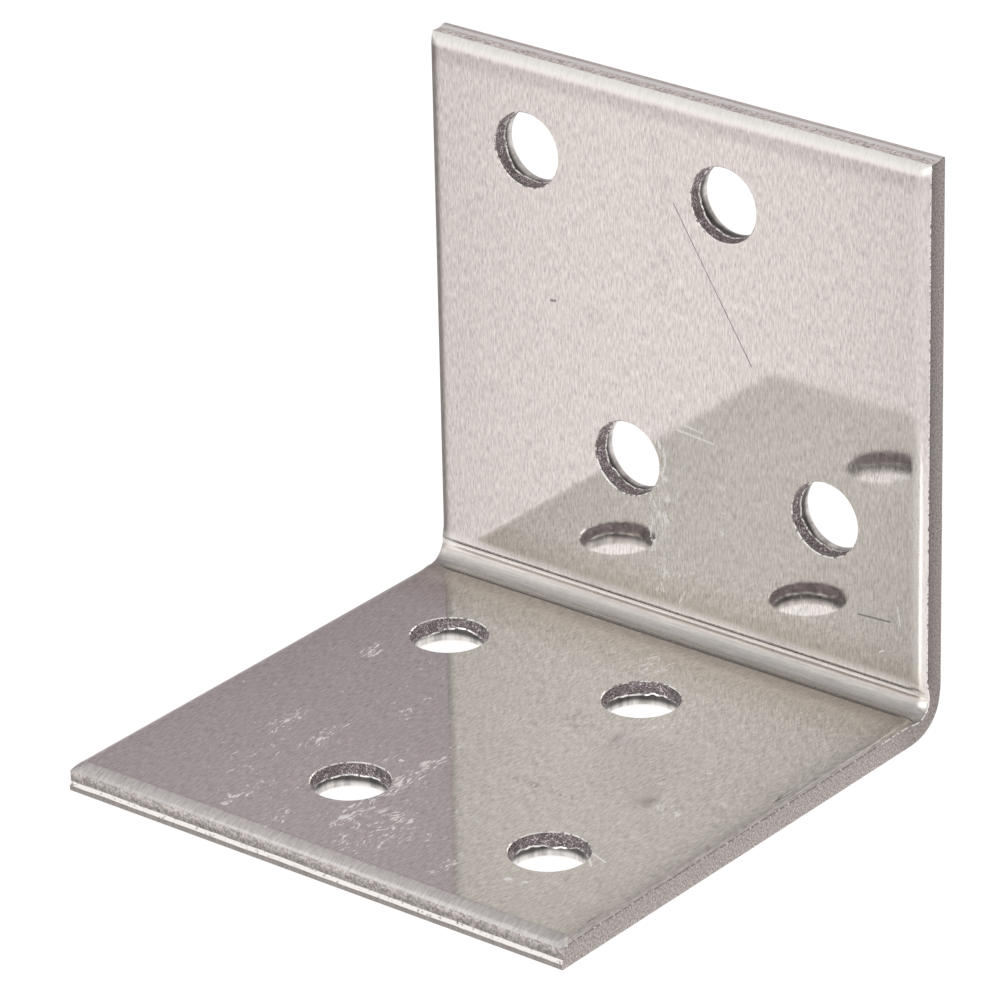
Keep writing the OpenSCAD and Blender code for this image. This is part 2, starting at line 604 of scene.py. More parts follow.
@dataclass
class HolePattern:
    """The eight holes: two staggered rows in each leg, in millimetres."""

    hole: PunchedHole = field(default_factory=PunchedHole)
    pitch: float = 16.0
    shift: float = 8.0
    row_pitch: float = 20.0
    base_edge: float = 9.0
    wall_edge: float = 6.6

    def centres(self, strip: FoldedStrip) -> list[tuple[bool, Vector]]:
        """Lists the holes.

        Args:
            strip: The strip that they go through.

        Returns:
            For each hole, whether it is in the wall leg, and its middle on the outer face.
        """
        plain = -(self.pitch + self.shift) / 2
        rows = [(False, strip.front + self.base_edge, plain + self.shift),
                (False, strip.front + self.base_edge + self.row_pitch, plain),
                (True, strip.height - self.wall_edge - self.row_pitch, plain + self.shift),
                (True, strip.height - self.wall_edge, plain)]
        found = []
        for in_wall, along, first in rows:
            for x in (first, first + self.pitch):
                place = Vector((x, strip.back, along)) if in_wall else Vector((x, along, 0.0))
                found.append((in_wall, place))
        return found

    def build(self, strip: FoldedStrip) -> bmesh.types.BMesh:
        """Makes all eight cutters as one mesh.

        Args:
            strip: The strip that they go through.

        Returns:
            The cutters in their places.
        """
        tools = bmesh.new()
        for number, (in_wall, place) in enumerate(self.centres(strip)):
            one = self.hole.build(strip.thickness, 11.0 + number)
            turn = Matrix.Rotation(math.pi / 2, 4, "X") if in_wall else Matrix.Identity(4)
            bmesh.ops.transform(one, matrix=Matrix.Translation(place) @ turn, verts=one.verts)
            passing = bpy.data.meshes.new("hole_tool")
            one.to_mesh(passing)
            one.free()
            tools.from_mesh(passing)
            bpy.data.meshes.remove(passing)
        return tools


class NodeDesk:
    """Places, sets and links the nodes of one tree."""

    def __init__(self, tree: bpy.types.NodeTree) -> None:
        """Takes the tree that the nodes go to."""
        self.tree = tree

    def add(self, kind: str, feeds: dict[str, Feed] | None = None, **settings: object) -> bpy.types.Node:
        """Places a node.

        Args:
            kind: The node's type name.
            feeds: A link or a value for each named input.
            settings: The node's own settings.

        Returns:
            The new node.
        """
        made = self.tree.nodes.new(kind)
        for name, value in settings.items():
            setattr(made, name, value)
        for name, value in (feeds or {}).items():
            self.feed(made.inputs[name], value)
        return made

    def feed(self, socket: Socket, value: Feed) -> None:
        """Links a socket, or writes a plain value to it.

        Args:
            socket: An input of a node.
            value: A link or a value.
        """
        if isinstance(value, bpy.types.NodeSocket):
            self.tree.links.new(value, socket)
        else:
            socket.default_value = value

    def feed_all(self, sockets: Iterable[Socket], values: Iterable[Feed]) -> None:
        """Feeds several sockets in their order."""
        for socket, value in zip(sockets, values):
            self.feed(socket, value)

    def math(self, operation: str, *values: Feed, clamped: bool = False) -> Socket:
        """Adds a Math node.

        Args:
            operation: The node's operation.
            values: A link or a value for each input.
            clamped: Whether the result is held between 0 and 1.

        Returns:
            Its result.
        """
        made = self.add("ShaderNodeMath", operation=operation, use_clamp=clamped)
        self.feed_all(made.inputs, values)
        return made.outputs[0]

    def chain(self, operation: str, *values: Feed) -> Socket:
        """Joins any number of values by one operation, from the first to the last.

        Args:
            operation: The operation.
            values: The links or values.

        Returns:
            The last result.
        """
        result = values[0]
        for value in values[1:]:
            result = self.math(operation, result, value)
        return result

    def total(self, *values: Feed) -> Socket:
        """Adds up any number of values."""
        return self.chain("ADD", *values)

    def times(self, *values: Feed) -> Socket:
        """Multiplies any number of values."""
        return self.chain("MULTIPLY", *values)

    def highest(self, *values: Feed) -> Socket:
        """Takes the highest of any number of values."""
        return self.chain("MAXIMUM", *values)

    def minus(self, value: Feed, less: Feed) -> Socket:
        """Takes one value from another."""
        return self.math("SUBTRACT", value, less)

    def size(self, value: Feed) -> Socket:
        """A value without its sign."""
        return self.math("ABSOLUTE", value)

    def vector(self, operation: str, *values: Feed) -> Socket:
        """Adds a Vector Math node.

        Args:
            operation: The node's operation.
            values: A link or a value for each input.

        Returns:
            Its result, a number for a dot product, a length or a distance.
        """
        made = self.add("ShaderNodeVectorMath", operation=operation)
        self.feed_all(made.inputs, values)
        return made.outputs["Value" if operation in ("DOT_PRODUCT", "LENGTH", "DISTANCE") else "Vector"]

    def stretched(self, vector: Feed, factors: Feed) -> Socket:
        """Multiplies a vector by another, number by number."""
        return self.vector("MULTIPLY", vector, factors)

    def scaled(self, vector: Feed, factor: Feed) -> Socket:
        """Multiplies a vector by a number."""
        made = self.add("ShaderNodeVectorMath", {"Vector": vector, "Scale": factor}, operation="SCALE")
        return made.outputs["Vector"]

    def split(self, vector: Feed) -> tuple[Socket, Socket, Socket]:
        """Splits a vector into its three numbers."""
        made = self.add("ShaderNodeSeparateXYZ", {"Vector": vector})
        return made.outputs["X"], made.outputs["Y"], made.outputs["Z"]

    def ramp(self, value: Feed, low: float, high: float, to_low: float = 0.0, to_high: float = 1.0) -> Socket:
        """Adds a smooth step between two numbers.

        Args:
            value: What the step depends on.
            low: Value at which the step starts.
            high: Value at which it ends, which may be the lower one.
            to_low: Result before the step.
            to_high: Result after it.

        Returns:
            The result.
        """
        made = self.add("ShaderNodeMapRange", {"Value": value, "From Min": low, "From Max": high,
                                               "To Min": to_low, "To Max": to_high},
                        interpolation_type="SMOOTHSTEP")
        return made.outputs["Result"]

    def noise(self, vector: Feed, detail: float = 2.0, roughness: float = 0.5) -> Socket:
        """Adds a Noise Texture.

        Args:
            vector: Place in the pattern.
            detail: Number of finer layers.
            roughness: Strength of those layers.

        Returns:
            Its value, between 0 and 1.
        """
        made = self.add("ShaderNodeTexNoise", {"Vector": vector, "Scale": 1.0, "Detail": detail,
                                               "Roughness": roughness})
        return made.outputs["Fac"]

    def blend(self, share: Feed, first: Feed, second: Feed) -> Socket:
        """Mixes two colours.

        Args:
            share: Share of the second colour.
            first: The first colour.
            second: The second colour.

        Returns:
            The mixture.
        """
        made = self.add("ShaderNodeMix", data_type="RGBA")
        self.feed_all((made.inputs[0], made.inputs[6], made.inputs[7]), (share, first, second))
        return made.outputs[2]

    def mix(self, share: Feed, first: Feed, second: Feed) -> Socket:
        """Mixes two numbers.

        Args:
            share: Share of the second number.
            first: The first number.
            second: The second number.

        Returns:
            The mixture.
        """
        made = self.add("ShaderNodeMix", data_type="FLOAT")
        self.feed_all((made.inputs[0], made.inputs[2], made.inputs[3]), (share, first, second))
        return made.outputs[0]

    def light_path(self, ray: str) -> Socket:
        """Whether a ray is of the named kind."""
        return self.add("ShaderNodeLightPath").outputs[ray]


class Spot:
    """Where on the bracket a material is asked about, in millimetres."""

    def __init__(self, desk: NodeDesk) -> None:
        """Reads the place from the object's own coordinates.

        Args:
            desk: The material's desk.
        """
        self.desk = desk
        self.place = desk.scaled(desk.add("ShaderNodeTexCoord").outputs["Object"], 1 / MM)
        self.x, self.y, self.z = desk.split(self.place)

    def along(self) -> Socket:
        """Place along the strip from the fold: up the wall leg, or below 0 out over the base leg."""
        return self.desk.total(self.y, self.z, -BACK_Y)

    def from_end(self) -> Socket:
        """Distance from the nearest free end."""
        return self.desk.math("MINIMUM", self.desk.minus(self.y, FRONT_Y), self.desk.minus(TOP_Z, self.z))

    def depth(self) -> Socket:
        """Distance from the outer face of the nearest leg."""
        return self.desk.math("MINIMUM", self.z, self.desk.minus(BACK_Y, self.y))

    def in_wall(self) -> Socket:
        """Whether the place is above the base leg."""
        return self.desk.ramp(self.z, 2.0, 2.2)


def fill_ramp(ramp: bpy.types.ColorRamp, stops: Iterable[tuple[float, Sequence[float]]]) -> None:
    """Writes the stops of a colour ramp.

    Args:
        ramp: The colour ramp.
        stops: Position and colour of each stop.
    """
    stops = list(stops)
    while len(ramp.elements) < len(stops):
        ramp.elements.new(1.0)
    for element, (position, colour) in zip(ramp.elements, stops):
        element.position = position
        element.color = rgba(colour)


def rgba(colour: Sequence[float]) -> tuple[float, float, float, float]:
    """A colour with full alpha."""
    return (colour[0], colour[1], colour[2], 1.0)


@dataclass(frozen=True)
class Effect:
    """A shader node group that several finishes share."""

    name: str
    inputs: tuple[tuple[str, str, float], ...]
    outputs: tuple[str, ...]

    def tree(self) -> tuple[bpy.types.NodeTree, NodeDesk, bpy.types.Node, bpy.types.Node]:
        """Makes the empty group.

        Returns:
            The group, a desk for it, and its input and output nodes.
        """
        tree = bpy.data.node_groups.new(self.name, "ShaderNodeTree")
        for name, kind, value in self.inputs:
            socket = tree.interface.new_socket(name, in_out="INPUT", socket_type=kind)
            if kind == NUMBER:
                socket.default_value = value
        for name in self.outputs:
            tree.interface.new_socket(name, in_out="OUTPUT", socket_type=NUMBER)
        desk = NodeDesk(tree)
        return tree, desk, desk.add("NodeGroupInput"), desk.add("NodeGroupOutput")


class Effects:
    """Builds each shared node group once and places it in materials."""

    def __init__(self) -> None:
        """Builds all the groups."""
        self.grain = self._grain()
        self.scratch = self._scratch()
        self.torn = self._torn()
        self.patch = self._patch()

    @staticmethod
    def use(desk: NodeDesk, tree: bpy.types.NodeTree, **feeds: Feed) -> bpy.types.Node:
        """Places a group in a material.

        Args:
            desk: The material's desk.
            tree: The group.
            feeds: A link or value for each input.

        Returns:
            The group node.
        """
        made = desk.add("ShaderNodeGroup", node_tree=tree)
        for name, value in feeds.items():
            desk.feed(made.inputs[name], value)
        return made

    @staticmethod
    def _grain() -> bpy.types.NodeTree:
        """Rolling grain: fine lines, broad bands and short dashes along one direction.

        Returns:
            The node group.
        """
        effect = Effect("rolling_grain", (PLACE, ("Stretch", TRIPLE, 0.0)), ("Fine", "Broad", "Dashes"))
        tree, desk, inner, outer = effect.tree()
        drawn = desk.stretched(inner.outputs["Place"], inner.outputs["Stretch"])
        dashes = desk.vector("ADD", desk.stretched(drawn, (0.9, 1.7, 1.7)), (31.0, 7.0, 3.0))
        desk.feed(outer.inputs["Fine"], desk.noise(drawn, 3.0, 0.65))
        desk.feed(outer.inputs["Broad"], desk.noise(desk.stretched(drawn, (0.14, 0.16, 0.16))))
        desk.feed(outer.inputs["Dashes"], desk.ramp(desk.noise(dashes, 1.0, 0.4), 0.6, 0.72))
        return tree

    @staticmethod
    def _scratch() -> bpy.types.NodeTree:
        """One scratch between two points, fading away from its middle line.

        Returns:
            The node group.
        """
        inputs = (PLACE, ("Start", TRIPLE, 0.0), ("End", TRIPLE, 0.0), ("Width", NUMBER, 0.05))
        tree, desk, inner, outer = Effect("scratch", inputs, ("Mask",)).tree()
        run = desk.vector("SUBTRACT", inner.outputs["End"], inner.outputs["Start"])
        reach = desk.vector("SUBTRACT", inner.outputs["Place"], inner.outputs["Start"])
        passed, whole = desk.vector("DOT_PRODUCT", reach, run), desk.vector("DOT_PRODUCT", run, run)
        share = desk.math("DIVIDE", passed, whole, clamped=True)
        away = desk.vector("DISTANCE", reach, desk.scaled(run, share))
        near = desk.minus(1.0, desk.math("DIVIDE", away, inner.outputs["Width"]))
        desk.feed(outer.inputs["Mask"], desk.math("MULTIPLY", near, 1.6, clamped=True))
        return tree

    @staticmethod
    def _patch() -> bpy.types.NodeTree:
        """A soft oval patch on the unrolled face of the strip.

        Returns:
            The node group.
        """
        inputs = tuple((name, TRIPLE, 0.0) for name in ("Spot", "Centre", "Half"))
        tree, desk, inner, outer = Effect("patch", inputs, ("Mask",)).tree()
        away = desk.vector("SUBTRACT", inner.outputs["Spot"], inner.outputs["Centre"])
        away = desk.vector("LENGTH", desk.vector("DIVIDE", away, inner.outputs["Half"]))
        desk.feed(outer.inputs["Mask"], desk.math("MULTIPLY", desk.minus(1.2, away), 2.5, clamped=True))
        return tree

    @staticmethod
    def _torn() -> bpy.types.NodeTree:
        """Broken metal: a crumbly height, a patchy shade and a few bright specks.

        Returns:
            The node group.
        """
        effect = Effect("torn_metal", (PLACE, ("Grain", NUMBER, 5.0)), ("Height", "Shade", "Specks"))
        tree, desk, inner, outer = effect.tree()
        drawn = desk.scaled(inner.outputs["Place"], inner.outputs["Grain"])
        specks = desk.vector("ADD", desk.stretched(drawn, (1.6, 1.6, 1.6)), (4.0, 9.0, 2.0))
        desk.feed(outer.inputs["Height"], desk.noise(drawn, 4.0, 0.65))
        desk.feed(outer.inputs["Shade"], desk.noise(desk.stretched(drawn, (0.3, 0.3, 0.3)), 2.0, 0.6))
        desk.feed(outer.inputs["Specks"], desk.ramp(desk.noise(specks, 1.0, 0.5), 0.56, 0.66))
        return tree


class Sheet(NodeDesk):
    """The material of one finish while it is built: its nodes, its shader and the place on the bracket."""

    def __init__(self, finish: "Finish", effects: Effects) -> None:
        """Makes the material with its metal shader.

        Args:
            finish: The finish, with its plain values.
            effects: The shared node groups.
        """
        self.finish, self.effects = finish, effects
        self.material = bpy.data.materials.new(finish.name)
        self.material.use_nodes = True
        self.material.diffuse_color = rgba(finish.colour)
        super().__init__(self.material.node_tree)
        self.shader = self.tree.nodes["Principled BSDF"]
        self.feed(self.shader.inputs["Base Color"], rgba(finish.colour))
        self.feed(self.shader.inputs["Roughness"], finish.roughness)
        self.feed(self.shader.inputs["Metallic"], 1.0)
        self.spot = Spot(self)

    def grain(self, stretch: Triple) -> tuple[Socket, Socket, Socket]:
        """Rolling grain, denser along each axis by the stretch: its fine, broad and dashed part."""
        made = self.effects.use(self, self.effects.grain, Place=self.spot.place, Stretch=stretch)
        return made.outputs["Fine"], made.outputs["Broad"], made.outputs["Dashes"]

    def torn(self, grain: float) -> tuple[Socket, Socket, Socket]:
        """Broken metal, finer with a higher grain: its height, shade and specks."""
        made = self.effects.use(self, self.effects.torn, Place=self.spot.place, Grain=grain)
        return made.outputs["Height"], made.outputs["Shade"], made.outputs["Specks"]

    def shaded(self, factor: Feed) -> Socket:
        """The finish's colour times a factor."""
        return self.scaled(self.finish.colour, factor)

    def surface(self, tone: Feed, dull: Feed, height: Feed) -> None:
        """Feeds the shader with what changes over the surface.

        Args:
            tone: Colour of the metal.
            dull: What roughens it, to be multiplied by the finish's dulling.
            height: Height of its relief, to be multiplied by the finish's relief, which is in
                thousandths of a millimetre.
        """
        self.feed(self.shader.inputs["Base Color"], tone)
        rough = self.total(self.finish.roughness, self.times(dull, self.finish.dulling))
        self.feed(self.shader.inputs["Roughness"], rough)
        relief = self.times(height, self.finish.relief)
        bump = self.add("ShaderNodeBump", {"Strength": 1.0, "Distance": MM * MM, "Height": relief})
        self.feed(self.shader.inputs["Normal"], bump.outputs["Normal"])


@dataclass(frozen=True)
class Finish:
    """The plain values that every finish of the steel has."""

    name: str
    colour: Triple
    roughness: float
    dulling: float
    relief: float

    def build(self, effects: Effects) -> bpy.types.Material:
        """Makes the material.

        Args:
            effects: The shared node groups.

        Returns:
            The material.
        """
        desk = Sheet(self, effects)
        self.dress(desk)
        return desk.material

    def dress(self, desk: Sheet) -> None:
        """Feeds the shader with the finish's own tone, dullness and relief."""
        raise NotImplementedError


@dataclass(frozen=True)
class Mark:
    """A single scratch or ding, in millimetres. A darkness below 0 makes it bright."""

    start: Triple
    end: Triple
    width: float
    dark: float


MARKS = (
    Mark((0.0, WALL_FACE, 32.6), (6.2, WALL_FACE, 22.7), 0.055, 1.0),
    Mark((-10.15, WALL_FACE, 23.2), (-9.8, WALL_FACE, 23.25), 0.13, 1.0),
    Mark((0.1, WALL_FACE, 16.6), (3.1, WALL_FACE, 16.35), 0.11, -0.9),
    Mark((0.4, WALL_FACE, 17.1), (2.2, WALL_FACE, 16.9), 0.1, -0.8),
    Mark((14.7, WALL_FACE, 7.4), (17.2, WALL_FACE, 7.55), 0.09, 0.9),
    Mark((17.8, WALL_FACE, 8.8), (18.0, WALL_FACE, 7.55), 0.09, -0.9),
    Mark((14.3, -9.6, BASE_FACE), (15.7, -10.1, BASE_FACE), 0.11, -1.0),
    Mark((14.5, -10.2, BASE_FACE), (15.3, -11.0, BASE_FACE), 0.11, -1.0),
    Mark((12.1, -15.4, BASE_FACE), (12.2, -15.3, BASE_FACE), 0.28, -1.0),
    Mark((13.2, -15.05, BASE_FACE), (13.3, -15.0, BASE_FACE), 0.2, -1.0),
)


@dataclass(frozen=True)
class Patch:
    """A scuffed patch of the inner face, in millimetres across and along the strip.

    Its place along the strip counts from the fold, up the wall leg and, with a minus sign, out
    over the base leg.
    """

    across: float
    along: float
    half_width: float
    half_length: float
    strength: float

    def mask(self, desk: Sheet, spot: Socket) -> Socket:
        """Works out the patch's mask, times its strength.

        Args:
            desk: The material's desk.
            spot: Place on the unrolled strip.

        Returns:
            The mask.
        """
        made = desk.effects.use(desk, desk.effects.patch, Spot=spot, Centre=(self.across, self.along, 0.0),
                                Half=(self.half_width, self.half_length, 1.0))
        return desk.times(made.outputs["Mask"], self.strength)


PATCHES = (
    Patch(-1.3, -27.7, 0.8, 7.5, 1.0), Patch(1.2, -33.4, 3.2, 3.6, 0.75), Patch(-9.4, -25.2, 0.7, 3.2, 0.8),
    Patch(-12.7, -25.1, 1.0, 2.2, 0.9), Patch(-8.5, -34.5, 0.6, 2.8, 0.8), Patch(-7.1, -20.0, 0.7, 1.0, 0.7),
    Patch(-14.7, -14.0, 0.8, 1.2, 0.8), Patch(-9.8, -17.9, 0.5, 2.0, 0.45), Patch(-3.7, -24.8, 0.8, 1.8, 0.7),
    Patch(8.0, -34.2, 0.5, 2.6, 0.75), Patch(-4.3, -35.7, 0.7, 1.8, 0.8), Patch(3.4, -35.7, 0.5, 1.8, 0.6),
    Patch(1.8, -4.5, 1.4, 2.1, 0.8), Patch(7.8, -11.7, 1.4, 1.9, 0.75), Patch(11.5, -15.7, 2.8, 3.0, 0.4),
    Patch(14.8, -20.2, 1.3, 1.8, 0.7), Patch(-15.0, -26.0, 4.0, 5.0, 0.25), Patch(-1.4, 8.2, 1.0, 7.0, 1.0),
    Patch(0.3, 7.2, 0.8, 6.0, 0.6), Patch(3.7, 10.2, 0.7, 3.5, 0.55), Patch(13.0, 4.0, 6.0, 2.5, 0.25),
    Patch(-4.0, -30.0, 12.0, 7.0, 0.42), Patch(-11.0, -15.0, 7.0, 6.0, 0.25),
)
DULL_PATCHES = (
    Patch(-1.1, 30.5, 0.8, 8.0, 0.35), Patch(2.5, -14.0, 1.0, 0.9, 0.8), Patch(-6.7, 21.2, 1.0, 0.6, 0.5),
    Patch(6.5, -22.7, 3.0, 0.35, 0.9),
)


@dataclass
class RolledFace:
    """What the parts of the rolled finish share while its material is built."""

    desk: Sheet
    grain_stretch: Triple = (8.5, 1.6, 1.6)
    grain_shade: tuple[float, float] = (0.39, 1.3)
    scuff_stretch: Triple = (5.6, 1.5, 1.5)
    scuff_level: float = 0.73
    scuff_contrast: float = 18.0
    groove_run: float = 1.37
    # How much painted shade darkens the grooves beside the creases
    groove_painted_shade: float = 0.75
    side_fall: float = 0.13
    dent_reach: tuple[float, float] = (2.4, 4.2)

    def __post_init__(self) -> None:
        """Works out the places that the finish counts in, and its grain."""
        desk, spot = self.desk, self.desk.spot
        self.across, self.along, self.from_end = spot.x, spot.along(), spot.from_end()
        unrolled = desk.add("ShaderNodeCombineXYZ", {"X": self.across, "Y": self.along})
        self.unrolled = unrolled.outputs["Vector"]
        self.inner = desk.ramp(spot.depth(), 0.6, 1.1)
        self.on_wall = desk.ramp(self.along, -0.5, 0.5)
        self.fine, self.broad, self.dashes = desk.grain(self.grain_stretch)

    def patches(self, patches: Iterable[Patch]) -> Socket:
        """The joint mask of several patches."""
        masks = (patch.mask(self.desk, self.unrolled) for patch in patches)
        return self.desk.highest(0.0, *masks)

    def scuffs(self) -> tuple[Socket, Socket]:
        """Scatters fine scuffs over the patches; the outer faces have a light scatter all over instead.

        Returns:
            The masks of the bright and of the dull scuffs.
        """
        desk, place = self.desk, self.desk.spot.place
        rubbed, dulled = self.patches(PATCHES), self.patches(DULL_PATCHES)
        drift = desk.noise(desk.stretched(place, (0.5, 0.35, 0.35)), 2.0, 0.6)
        drawn = desk.vector("ADD", place, desk.scaled(X_AXIS, desk.times(drift, 2.0)))
        specks = desk.noise(desk.stretched(drawn, self.scuff_stretch), 3.0, 0.65)
        heap = desk.noise(desk.stretched(drawn, (0.9, 0.45, 0.45)), 1.0, 0.5)
        level = desk.total(self.scuff_level, desk.times(desk.mix(self.inner, 0.5, rubbed), -0.2),
                           desk.ramp(heap, 0.42, 0.6, 0.03, -0.03))
        bright = desk.math("MULTIPLY", desk.minus(specks, level), self.scuff_contrast, clamped=True)
        return bright, desk.times(desk.ramp(specks, 0.52, 0.4), dulled, self.inner)

    def scratches(self) -> tuple[Feed, Feed]:
        """Draws the single scratches.

        Returns:
            The masks of the bright and of the dark ones.
        """
        desk, bright, dark = self.desk, [0.0], [0.0]
        for mark in MARKS:
            made = desk.effects.use(desk, desk.effects.scratch, Place=desk.spot.place, Start=mark.start,
                                    End=mark.end, Width=mark.width)
            kind = dark if mark.dark > 0 else bright
            kind.append(desk.times(made.outputs["Mask"], abs(mark.dark)))
        return desk.highest(*bright), desk.highest(*dark)

    def rubbed_and_highlit_edges(self) -> Socket:
        """Paints bright bands: metal rubbed bare above the fold, and painted highlights on the wall leg's
        right side and on both ends.

        Returns:
            The mask of the rubbed bands and the painted highlights.
        """
        desk, along, from_end = self.desk, self.along, self.from_end
        streaks = desk.ramp(self.fine, 0.3, 0.62, 0.72, 1.0)
        beside = desk.times(desk.ramp(along, 2.2, 1.7, 0.0, 0.8), desk.ramp(along, 1.46, 1.54))
        up_wall = desk.ramp(along, 1.5, 2.5)
        right = desk.times(desk.ramp(self.across, 18.7, 19.3), up_wall,
                           desk.ramp(along, 22.0, 14.0, 0.3, 1.0))
        end = desk.mix(up_wall, desk.ramp(from_end, 1.15, 1.05, 0.0, 0.3), desk.ramp(from_end, 1.05, 0.8))
        return desk.times(desk.highest(beside, right, end), streaks)

    def end_dip(self) -> Socket:
        """Draws the darker line before each rolled end: broad on the wall leg, thin on the base leg.

        Returns:
            How much darker the metal is.
        """
        desk, from_end = self.desk, self.from_end
        broad = desk.times(desk.ramp(from_end, 2.4, 1.5), desk.ramp(from_end, 0.9, 1.2, 0.0, 0.15))
        thin = desk.times(desk.ramp(from_end, 1.4, 1.2), desk.ramp(from_end, 1.08, 1.14, 0.0, 0.08))
        return desk.mix(self.on_wall, thin, broad)

    def painted_crease_shade(self) -> Socket:
        """Paints shade into the narrow grooves beside both creases.

        Returns:
            How much darker the metal is.
        """
        desk = self.desk
        groove = desk.size(desk.minus(desk.size(self.along), self.groove_run))
        # painted shade in the crease grooves
        return desk.times(desk.ramp(groove, 0.11, 0.03), desk.ramp(desk.size(self.across), 19.3, 18.5),
                          self.groove_painted_shade)

    def shade(self, dark: Feed, dull: Feed) -> Socket:
        """Works out how bright the inner face is at each place, with painted shade along its rolled sides,
        beside the fold and in the crease grooves.

        Args:
            dark: Mask of the dark scratches.
            dull: Mask of the dull scuffs.

        Returns:
            The factor for the finish's colour.
        """
        desk, across, along = self.desk, self.across, self.along
        rolled = desk.total(self.grain_shade[0], desk.times(self.fine, self.grain_shade[1]),
                            desk.times(self.dashes, -0.1))
        side = desk.math("POWER", desk.size(desk.math("DIVIDE", across, 20.0)), 2.5)
        # painted shade: the base leg darker towards its right rolled edge, a little brighter towards its free
        # end
        on_base = desk.times(desk.ramp(across, 17.4, 19.6, 1.0, 0.88),
                             desk.ramp(along, -4.0, -36.0, 0.97, 1.04))
        # painted shade along the wall leg's left rolled edge
        beside = desk.mix(self.on_wall, on_base, desk.ramp(across, -19.65, -19.0, 0.7, 1.0))
        # painted shade on the base leg just below the fold
        near_fold = desk.times(desk.ramp(along, 0.5, -0.5), desk.ramp(along, -3.0, -1.5, 0.0, 0.18))
        # dark scratches and dull scuffs, with the painted shade of the crease grooves and the fold
        marks_and_painted_shade = desk.highest(desk.times(dark, 0.6), self.painted_crease_shade(), desk.times(dull, 0.3), near_fold)
        return desk.times(rolled, desk.math("MULTIPLY_ADD", side, -self.side_fall, 1.015),
                          desk.minus(1.0, self.end_dip()), beside, desk.minus(1.0, marks_and_painted_shade))

    def painted_fold_shade(self) -> Socket:
        """The mask of the painted shade, tinted brown, on the base leg beside the fold."""
        desk = self.desk
        return desk.times(desk.ramp(self.along, -8.0, -1.4), desk.ramp(self.along, 0.5, -0.5), self.inner)

    def hazy(self, haze: Patch) -> Socket:
        """Roughens a hazy patch of the inner face, and the metal beside the fold.

        Args:
            haze: The hazy patch.

        Returns:
            What is added to the roughness.
        """
        desk = self.desk
        near_fold = desk.mix(self.on_wall, desk.ramp(self.along, -4.6, -1.9, 0.0, 0.24),
                             desk.ramp(self.along, 3.2, 1.7, 0.0, 0.12))
        return desk.times(desk.total(haze.mask(desk, self.unrolled), near_fold), self.inner)

    def dents(self, centres: Iterable[Triple]) -> Socket:
        """The shallow dents that the punch leaves in the face around the holes.

        Args:
            centres: Middle of each hole on the inner face.

        Returns:
            The depth of the dents, from 0 to 1.
        """
        desk = self.desk
        away: Feed = 100.0
        for centre in centres:
            away = desk.math("MINIMUM", away, desk.vector("DISTANCE", desk.spot.place, centre))
        return desk.ramp(away, *self.dent_reach, 1.0, 0.0)


@dataclass(frozen=True)
class RolledFinish(Finish):
    """Bright rolled faces, with grain from end to end, dents around the holes, scuffs and scratches, painted
    shade beside the fold and along the edges, and painted highlights on the edges.
    """

    name: str = "bright_rolled_steel"
    colour: Triple = (0.738, 0.706, 0.683)
    roughness: float = 0.03
    dulling: float = 1.0
    relief: float = 1.0
    # Colour of the bare scuffs, also used for the painted highlights on the edges
    bare: Triple = (0.95, 0.93, 0.91)
    # Tint of the painted shade beside the fold
    fold_shade_tint: Triple = (0.8, 0.765, 0.71)
    haze: Patch = Patch(9.5, -17.2, 3.4, 4.6, 0.22)
    outer_shade: tuple[float, float] = (0.3, 1.3)
    outer_dulling: float = 0.12
    bare_and_highlight_share: float = 0.9
    grain_height: float = 0.5
    wave_height: float = 12.0
    dent_depth: float = 5.0
    fleck_metal: float = 0.25
    centres: tuple[Triple, ...] = ()

    def dress(self, desk: Sheet) -> None:
        """Feeds the shader.

        Args:
            desk: The material's desk.
        """
        face = RolledFace(desk)
        bright, dull = face.scuffs()
        scratched, dark = face.scratches()
        flecks = desk.highest(bright, scratched)
        scuffs_and_highlights = desk.highest(flecks, desk.times(face.rubbed_and_highlit_edges(), face.inner))
        outer = desk.math("MULTIPLY_ADD", face.fine, self.outer_shade[1], self.outer_shade[0])
        tone = desk.shaded(desk.mix(face.inner, outer, face.shade(dark, dull)))
        # painted shade, tinted brown, on the base leg beside the fold
        tone = desk.blend(face.painted_fold_shade(), tone, desk.stretched(tone, self.fold_shade_tint))
        # bare scuffs and painted edge highlights
        tone = desk.blend(desk.times(scuffs_and_highlights, self.bare_and_highlight_share), tone, rgba(self.bare))
        rough = desk.total(desk.times(face.broad, 0.04), desk.times(face.dashes, 0.05), desk.times(scuffs_and_highlights, 0.2),
                           face.hazy(self.haze), desk.ramp(face.inner, 1.0, 0.0, 0.0, self.outer_dulling),
                           desk.times(dark, 0.3))
        waves = desk.noise(desk.stretched(desk.spot.place, (0.16, 0.1, 0.1)), 1.0, 0.4)
        height = desk.total(desk.times(face.fine, self.grain_height), desk.times(waves, self.wave_height),
                            desk.times(face.dents(self.centres), -self.dent_depth))
        desk.surface(tone, rough, height)
        metal = desk.math("MULTIPLY_ADD", flecks, self.fleck_metal - 1.0, 1.0)
        desk.feed(desk.shader.inputs["Metallic"], metal)


